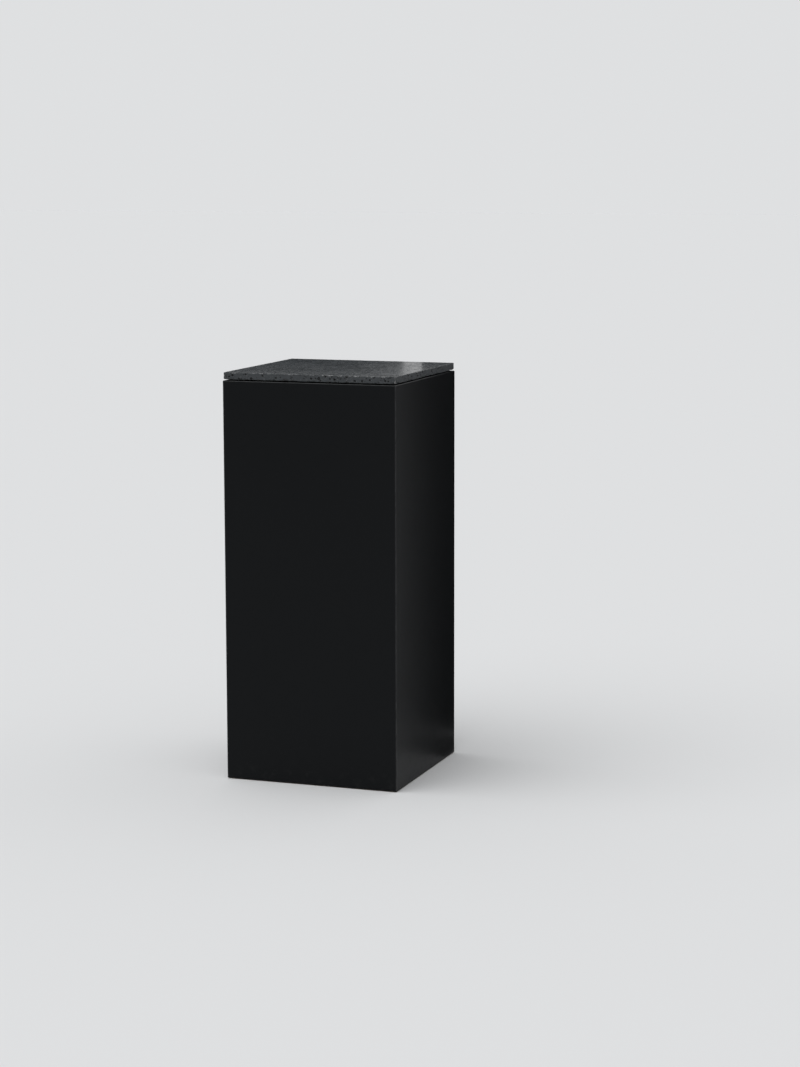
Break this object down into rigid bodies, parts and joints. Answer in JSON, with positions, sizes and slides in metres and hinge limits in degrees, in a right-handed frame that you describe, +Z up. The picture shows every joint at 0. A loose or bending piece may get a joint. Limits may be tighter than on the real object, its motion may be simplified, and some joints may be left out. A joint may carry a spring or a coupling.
{
  "type": "display plinth",
  "caption": "Tall square matt black display plinth with a loose dark cast slab on a thin shadow gap and hidden levelling feet.",
  "frame": {"origin": "on the floor at the middle of the footprint", "axes": "+Z up, +X along the width to the right, front face towards -Y"},
  "size_m": [0.45, 0.45, 1.02],
  "materials": {
    "black_lacquer": "matte",
    "black_board": "matte",
    "pine": "satin",
    "birch_ply": "satin",
    "dark_concrete": "satin",
    "zinc_steel": "satin",
    "yellow_zinc_steel": "satin",
    "black_rubber": "matte",
    "black_nylon": "satin",
    "white_nylon": "satin"
  },
  "bodies": {
    "carcass": {"front_panel": "black_lacquer", "right_panel": "black_lacquer", "back_panel": "black_lacquer", "left_panel": "black_lacquer", "spline_fl": "birch_ply", "spline_fr": "birch_ply", "spline_br": "birch_ply", "spline_bl": "birch_ply", "deck": "black_board", "deck_cleat_front": "pine", "deck_cleat_right": "pine", "deck_cleat_back": "pine", "deck_cleat_left": "pine", "post_fl": "pine", "post_fr": "pine", "post_br": "pine", "post_bl": "pine", "bulkhead": "birch_ply", "base_rail_front": "pine", "base_rail_right": "pine", "base_rail_back": "pine", "base_rail_left": "pine", "foot_block_fl": "birch_ply", "foot_block_fr": "birch_ply", "foot_block_br": "birch_ply", "foot_block_bl": "birch_ply", "tee_nuts": "zinc_steel", "rest_discs": "black_rubber", "locating_pins": "zinc_steel", "deck_screws": "yellow_zinc_steel", "cleat_screws": "yellow_zinc_steel", "rail_screws": "yellow_zinc_steel", "block_screws": "yellow_zinc_steel"},
    "slab": {"top_slab": "dark_concrete", "slab_cups": "white_nylon"},
    "foot_fl": {"foot_pad_fl": "black_nylon"},
    "stud_fl": {"foot_stud_fl": "zinc_steel"},
    "foot_fr": {"foot_pad_fr": "black_nylon"},
    "stud_fr": {"foot_stud_fr": "zinc_steel"},
    "foot_br": {"foot_pad_br": "black_nylon"},
    "stud_br": {"foot_stud_br": "zinc_steel"},
    "foot_bl": {"foot_pad_bl": "black_nylon"},
    "stud_bl": {"foot_stud_bl": "zinc_steel"}
  },
  "joints": [
    {"name": "slab_lift", "type": "slide", "parent": "carcass", "child": "slab", "axis": [0, 0, 1], "range_m": [0, 0.05]},
    {"name": "foot_travel_fl", "type": "slide", "parent": "carcass", "child": "foot_fl", "axis": [0, 0, 1], "range_m": [-0.015, 0]},
    {"name": "foot_turn_fl", "type": "hinge", "parent": "foot_fl", "child": "stud_fl", "pos_m": [-0.162, -0.162, 0.01], "axis": [0, 0, 1], "range_deg": [-3600, 0]},
    {"name": "foot_travel_fr", "type": "slide", "parent": "carcass", "child": "foot_fr", "axis": [0, 0, 1], "range_m": [-0.015, 0]},
    {"name": "foot_turn_fr", "type": "hinge", "parent": "foot_fr", "child": "stud_fr", "pos_m": [0.162, -0.162, 0.01], "axis": [0, 0, 1], "range_deg": [-3600, 0]},
    {"name": "foot_travel_br", "type": "slide", "parent": "carcass", "child": "foot_br", "axis": [0, 0, 1], "range_m": [-0.015, 0]},
    {"name": "foot_turn_br", "type": "hinge", "parent": "foot_br", "child": "stud_br", "pos_m": [0.162, 0.162, 0.01], "axis": [0, 0, 1], "range_deg": [-3600, 0]},
    {"name": "foot_travel_bl", "type": "slide", "parent": "carcass", "child": "foot_bl", "axis": [0, 0, 1], "range_m": [-0.015, 0]},
    {"name": "foot_turn_bl", "type": "hinge", "parent": "foot_bl", "child": "stud_bl", "pos_m": [-0.162, 0.162, 0.01], "axis": [0, 0, 1], "range_deg": [-3600, 0]}
  ],
  "couplings": [
    {"joint": "foot_turn_fl", "follows": "foot_travel_fl", "rad_per_m": 4188.8},
    {"joint": "foot_turn_fr", "follows": "foot_travel_fr", "rad_per_m": 4188.8},
    {"joint": "foot_turn_br", "follows": "foot_travel_br", "rad_per_m": 4188.8},
    {"joint": "foot_turn_bl", "follows": "foot_travel_bl", "rad_per_m": 4188.8}
  ]
}
